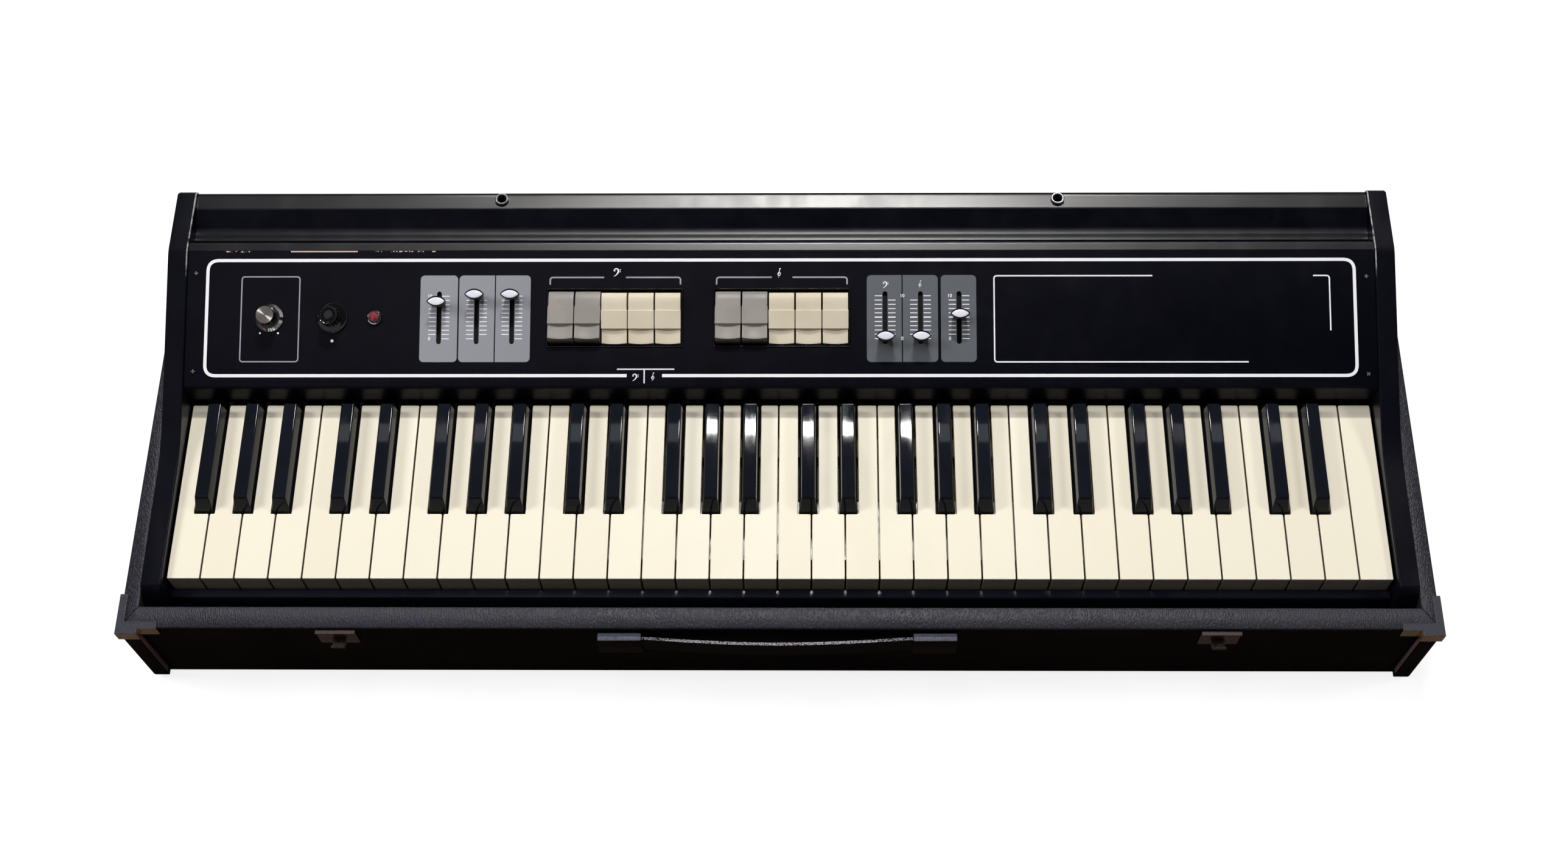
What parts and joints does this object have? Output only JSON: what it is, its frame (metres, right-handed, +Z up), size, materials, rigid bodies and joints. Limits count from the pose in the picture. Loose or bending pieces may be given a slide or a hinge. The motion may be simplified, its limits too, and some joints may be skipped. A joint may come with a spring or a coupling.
{
  "type": "string synthesizer",
  "caption": "Organ-style string synthesizer keyboard in a vinyl-covered carrying tray, with a sloping panel of rocker tabs, sliders and knobs above hinged keys.",
  "frame": {"origin": "centre of the footprint, on the floor under the feet", "axes": "+X along the keyboard to the treble end, +Y to the back, +Z up; the player sits at -Y"},
  "size_m": [0.9042, 0.3396, 0.1467],
  "materials": {
    "black_vinyl": "pebble-grained black vinyl cloth over wood",
    "black_strap": "matt black reinforced strap",
    "satin_black_wood": "satin black paint, worn on the edges",
    "panel_enamel": "satin black enamel with white printed lines",
    "gloss_black": "glossy black",
    "black_plastic": "black moulded plastic",
    "ivory_key": "glossy ivory-white moulding",
    "black_key": "high gloss black moulding",
    "cream_tab": "cream moulding",
    "grey_tab": "warm grey moulding",
    "chrome": "polished chrome plate",
    "zinc_steel": "zinc-plated folded sheet",
    "red_jewel": "red jewel lens in a chrome bezel",
    "circuit_board": "lacquered fibre board with parts",
    "iron_core": "lacquered laminations"
  },
  "bodies": {
    "cabinet": {"case_tray": "black_vinyl", "left_handle_cap": "black_vinyl", "right_handle_cap": "black_vinyl", "handle_strap": "black_strap", "left_cheek": "satin_black_wood", "right_cheek": "satin_black_wood", "rear_moulding": "satin_black_wood", "rear_panel": "satin_black_wood", "control_panel": "panel_enamel", "key_slip": "gloss_black", "left_rest_socket": "chrome", "right_rest_socket": "chrome", "output_jack": "chrome", "left_latch_keeper": "chrome", "right_latch_keeper": "chrome", "left_corner_guard": "chrome", "right_corner_guard": "chrome", "cord_gland": "black_plastic", "bass_tab_frame": "black_plastic", "treble_tab_frame": "black_plastic", "pilot_lamp": "red_jewel", "keybed_frame": "zinc_steel", "key_contact_board": "circuit_board", "tone_generator_board": "circuit_board", "panel_circuit_board": "circuit_board", "power_transformer": "iron_core"},
    "keys_octave_1_face": {"keys_octave_1_face": "ivory_key"},
    "keys_octave_1_gbd": {"keys_octave_1_gbd": "ivory_key"},
    "keys_octave_1_sharps": {"keys_octave_1_sharps": "black_key"},
    "keys_octave_2_face": {"keys_octave_2_face": "ivory_key"},
    "keys_octave_2_gbd": {"keys_octave_2_gbd": "ivory_key"},
    "keys_octave_2_sharps": {"keys_octave_2_sharps": "black_key"},
    "keys_octave_3_face": {"keys_octave_3_face": "ivory_key"},
    "keys_octave_3_gbd": {"keys_octave_3_gbd": "ivory_key"},
    "keys_octave_3_sharps": {"keys_octave_3_sharps": "black_key"},
    "keys_octave_4_face": {"keys_octave_4_face": "ivory_key"},
    "keys_octave_4_gbd": {"keys_octave_4_gbd": "ivory_key"},
    "keys_octave_4_sharps": {"keys_octave_4_sharps": "black_key"},
    "keys_octave_5_face": {"keys_octave_5_face": "ivory_key"},
    "keys_octave_5_gbd": {"keys_octave_5_gbd": "ivory_key"},
    "keys_octave_5_sharps": {"keys_octave_5_sharps": "black_key"},
    "key_top_f": {"key_top_f": "ivory_key"},
    "bass_tab_1": {"bass_tab_1": "grey_tab"},
    "bass_tab_2": {"bass_tab_2": "grey_tab"},
    "bass_tab_3": {"bass_tab_3": "cream_tab"},
    "bass_tab_4": {"bass_tab_4": "cream_tab"},
    "bass_tab_5": {"bass_tab_5": "cream_tab"},
    "treble_tab_1": {"treble_tab_1": "grey_tab"},
    "treble_tab_2": {"treble_tab_2": "grey_tab"},
    "treble_tab_3": {"treble_tab_3": "cream_tab"},
    "treble_tab_4": {"treble_tab_4": "cream_tab"},
    "treble_tab_5": {"treble_tab_5": "cream_tab"},
    "volume_slider": {"volume_slider": "black_plastic"},
    "brass_tone_slider": {"brass_tone_slider": "black_plastic"},
    "strings_tone_slider": {"strings_tone_slider": "black_plastic"},
    "bass_sustain_slider": {"bass_sustain_slider": "black_plastic"},
    "treble_sustain_slider": {"treble_sustain_slider": "black_plastic"},
    "vibrato_slider": {"vibrato_slider": "black_plastic"},
    "tune_knob": {"tune_knob": "black_plastic"},
    "power_switch_knob": {"power_switch_knob": "gloss_black"}
  },
  "joints": [
    {"name": "keys_octave_1_face_hinge", "type": "hinge", "parent": "cabinet", "child": "keys_octave_1_face", "pos_m": [0, 0.06074, 0.0717], "axis": [1, 0, 0], "range_deg": [0, 3.1], "stiffness_Nm_per_rad": 1.32, "springref_deg": -20.05},
    {"name": "keys_octave_1_gbd_hinge", "type": "hinge", "parent": "cabinet", "child": "keys_octave_1_gbd", "pos_m": [0, 0.04674, 0.0717], "axis": [1, 0, 0], "range_deg": [0, 3.35], "stiffness_Nm_per_rad": 0.99, "springref_deg": -20.05},
    {"name": "keys_octave_1_sharps_hinge", "type": "hinge", "parent": "cabinet", "child": "keys_octave_1_sharps", "pos_m": [0, 0.03274, 0.0717], "axis": [1, 0, 0], "range_deg": [0, 4], "stiffness_Nm_per_rad": 1.65, "springref_deg": -20.05},
    {"name": "keys_octave_2_face_hinge", "type": "hinge", "parent": "cabinet", "child": "keys_octave_2_face", "pos_m": [0, 0.06074, 0.0717], "axis": [1, 0, 0], "range_deg": [0, 3.1], "stiffness_Nm_per_rad": 1.32, "springref_deg": -20.05},
    {"name": "keys_octave_2_gbd_hinge", "type": "hinge", "parent": "cabinet", "child": "keys_octave_2_gbd", "pos_m": [0, 0.04674, 0.0717], "axis": [1, 0, 0], "range_deg": [0, 3.35], "stiffness_Nm_per_rad": 0.99, "springref_deg": -20.05},
    {"name": "keys_octave_2_sharps_hinge", "type": "hinge", "parent": "cabinet", "child": "keys_octave_2_sharps", "pos_m": [0, 0.03274, 0.0717], "axis": [1, 0, 0], "range_deg": [0, 4], "stiffness_Nm_per_rad": 1.65, "springref_deg": -20.05},
    {"name": "keys_octave_3_face_hinge", "type": "hinge", "parent": "cabinet", "child": "keys_octave_3_face", "pos_m": [0, 0.06074, 0.0717], "axis": [1, 0, 0], "range_deg": [0, 3.1], "stiffness_Nm_per_rad": 1.32, "springref_deg": -20.05},
    {"name": "keys_octave_3_gbd_hinge", "type": "hinge", "parent": "cabinet", "child": "keys_octave_3_gbd", "pos_m": [0, 0.04674, 0.0717], "axis": [1, 0, 0], "range_deg": [0, 3.35], "stiffness_Nm_per_rad": 0.99, "springref_deg": -20.05},
    {"name": "keys_octave_3_sharps_hinge", "type": "hinge", "parent": "cabinet", "child": "keys_octave_3_sharps", "pos_m": [0, 0.03274, 0.0717], "axis": [1, 0, 0], "range_deg": [0, 4], "stiffness_Nm_per_rad": 1.65, "springref_deg": -20.05},
    {"name": "keys_octave_4_face_hinge", "type": "hinge", "parent": "cabinet", "child": "keys_octave_4_face", "pos_m": [0, 0.06074, 0.0717], "axis": [1, 0, 0], "range_deg": [0, 3.1], "stiffness_Nm_per_rad": 1.32, "springref_deg": -20.05},
    {"name": "keys_octave_4_gbd_hinge", "type": "hinge", "parent": "cabinet", "child": "keys_octave_4_gbd", "pos_m": [0, 0.04674, 0.0717], "axis": [1, 0, 0], "range_deg": [0, 3.35], "stiffness_Nm_per_rad": 0.99, "springref_deg": -20.05},
    {"name": "keys_octave_4_sharps_hinge", "type": "hinge", "parent": "cabinet", "child": "keys_octave_4_sharps", "pos_m": [0, 0.03274, 0.0717], "axis": [1, 0, 0], "range_deg": [0, 4], "stiffness_Nm_per_rad": 1.65, "springref_deg": -20.05},
    {"name": "keys_octave_5_face_hinge", "type": "hinge", "parent": "cabinet", "child": "keys_octave_5_face", "pos_m": [0, 0.06074, 0.0717], "axis": [1, 0, 0], "range_deg": [0, 3.1], "stiffness_Nm_per_rad": 1.32, "springref_deg": -20.05},
    {"name": "keys_octave_5_gbd_hinge", "type": "hinge", "parent": "cabinet", "child": "keys_octave_5_gbd", "pos_m": [0, 0.04674, 0.0717], "axis": [1, 0, 0], "range_deg": [0, 3.35], "stiffness_Nm_per_rad": 0.99, "springref_deg": -20.05},
    {"name": "keys_octave_5_sharps_hinge", "type": "hinge", "parent": "cabinet", "child": "keys_octave_5_sharps", "pos_m": [0, 0.03274, 0.0717], "axis": [1, 0, 0], "range_deg": [0, 4], "stiffness_Nm_per_rad": 1.65, "springref_deg": -20.05},
    {"name": "key_top_f_hinge", "type": "hinge", "parent": "cabinet", "child": "key_top_f", "pos_m": [0, 0.06074, 0.0717], "axis": [1, 0, 0], "range_deg": [0, 3.1], "stiffness_Nm_per_rad": 0.33, "springref_deg": -20.05},
    {"name": "bass_tab_1_rocker", "type": "hinge", "parent": "cabinet", "child": "bass_tab_1", "pos_m": [-0.1551, 0.06191, 0.12327], "axis": [1, 0, 0], "range_deg": [0, 18]},
    {"name": "bass_tab_2_rocker", "type": "hinge", "parent": "cabinet", "child": "bass_tab_2", "pos_m": [-0.136, 0.06191, 0.12327], "axis": [1, 0, 0], "range_deg": [0, 18]},
    {"name": "bass_tab_3_rocker", "type": "hinge", "parent": "cabinet", "child": "bass_tab_3", "pos_m": [-0.1169, 0.06191, 0.12327], "axis": [1, 0, 0], "range_deg": [-18, 0]},
    {"name": "bass_tab_4_rocker", "type": "hinge", "parent": "cabinet", "child": "bass_tab_4", "pos_m": [-0.0978, 0.06191, 0.12327], "axis": [1, 0, 0], "range_deg": [-18, 0]},
    {"name": "bass_tab_5_rocker", "type": "hinge", "parent": "cabinet", "child": "bass_tab_5", "pos_m": [-0.0787, 0.06191, 0.12327], "axis": [1, 0, 0], "range_deg": [-18, 0]},
    {"name": "treble_tab_1_rocker", "type": "hinge", "parent": "cabinet", "child": "treble_tab_1", "pos_m": [-0.036, 0.06191, 0.12327], "axis": [1, 0, 0], "range_deg": [0, 18]},
    {"name": "treble_tab_2_rocker", "type": "hinge", "parent": "cabinet", "child": "treble_tab_2", "pos_m": [-0.0169, 0.06191, 0.12327], "axis": [1, 0, 0], "range_deg": [0, 18]},
    {"name": "treble_tab_3_rocker", "type": "hinge", "parent": "cabinet", "child": "treble_tab_3", "pos_m": [0.0022, 0.06191, 0.12327], "axis": [1, 0, 0], "range_deg": [-18, 0]},
    {"name": "treble_tab_4_rocker", "type": "hinge", "parent": "cabinet", "child": "treble_tab_4", "pos_m": [0.0213, 0.06191, 0.12327], "axis": [1, 0, 0], "range_deg": [-18, 0]},
    {"name": "treble_tab_5_rocker", "type": "hinge", "parent": "cabinet", "child": "treble_tab_5", "pos_m": [0.0404, 0.06191, 0.12327], "axis": [1, 0, 0], "range_deg": [-18, 0]},
    {"name": "volume_slider_travel", "type": "slide", "parent": "cabinet", "child": "volume_slider", "axis": [0, 0.9397, 0.342], "range_m": [-0.0249, 0.0051]},
    {"name": "brass_tone_slider_travel", "type": "slide", "parent": "cabinet", "child": "brass_tone_slider", "axis": [0, 0.9397, 0.342], "range_m": [-0.03, 0]},
    {"name": "strings_tone_slider_travel", "type": "slide", "parent": "cabinet", "child": "strings_tone_slider", "axis": [0, 0.9397, 0.342], "range_m": [-0.03, 0]},
    {"name": "bass_sustain_slider_travel", "type": "slide", "parent": "cabinet", "child": "bass_sustain_slider", "axis": [0, 0.9397, 0.342], "range_m": [0, 0.03]},
    {"name": "treble_sustain_slider_travel", "type": "slide", "parent": "cabinet", "child": "treble_sustain_slider", "axis": [0, 0.9397, 0.342], "range_m": [0, 0.03]},
    {"name": "vibrato_slider_travel", "type": "slide", "parent": "cabinet", "child": "vibrato_slider", "axis": [0, 0.9397, 0.342], "range_m": [-0.0159, 0.0141]},
    {"name": "tune_knob_turn", "type": "hinge", "parent": "cabinet", "child": "tune_knob", "pos_m": [-0.3639, 0.0602, 0.12797], "axis": [0, -0.342, 0.9397], "range_deg": [-150, 150]},
    {"name": "power_switch_knob_turn", "type": "hinge", "parent": "cabinet", "child": "power_switch_knob", "pos_m": [-0.319, 0.0602, 0.12797], "axis": [0, -0.342, 0.9397], "range_deg": [-60, 0]}
  ]
}
